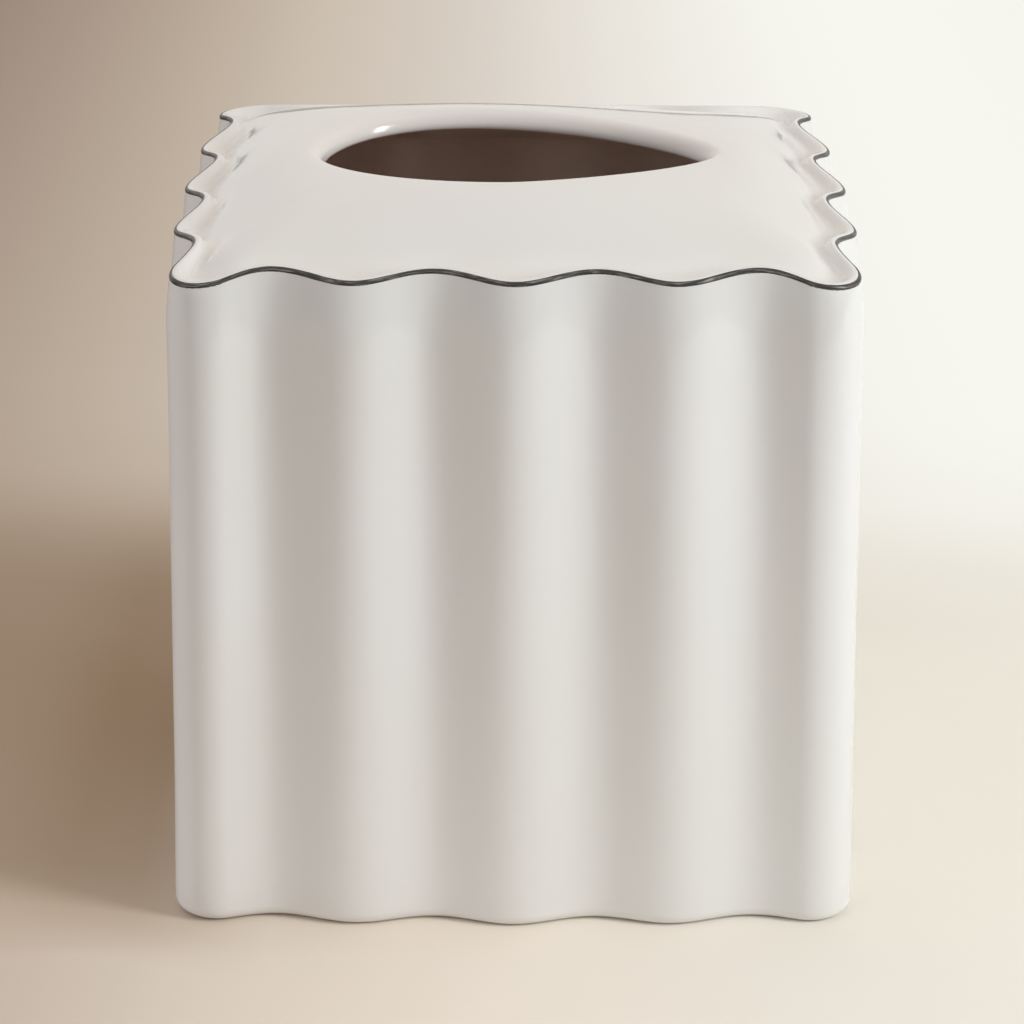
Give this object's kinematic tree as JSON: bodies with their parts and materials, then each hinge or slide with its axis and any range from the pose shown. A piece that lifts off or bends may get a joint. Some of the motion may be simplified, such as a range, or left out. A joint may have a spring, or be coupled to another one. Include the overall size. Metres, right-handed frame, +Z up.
{
  "type": "tissue box cover",
  "caption": "Square glazed ceramic cover for a boutique tissue box, with a fluted wall, wavy raised rim, dark rim line, pillowed top, oval mouth and open foot.",
  "frame": {"origin": "middle of the foot, on the surface that the cover stands on", "axes": "+Z up; the front faces -Y and the long way of the mouth runs along X"},
  "size_m": [0.1458, 0.1458, 0.1479],
  "materials": {
    "glazed_body": "glossy warm off-white glaze",
    "rim_lustre": "fired charcoal lustre line, brushed by hand"
  },
  "bodies": {
    "root": {"cover_shell": "glazed_body", "rim_line": "rim_lustre"}
  },
  "joints": []
}
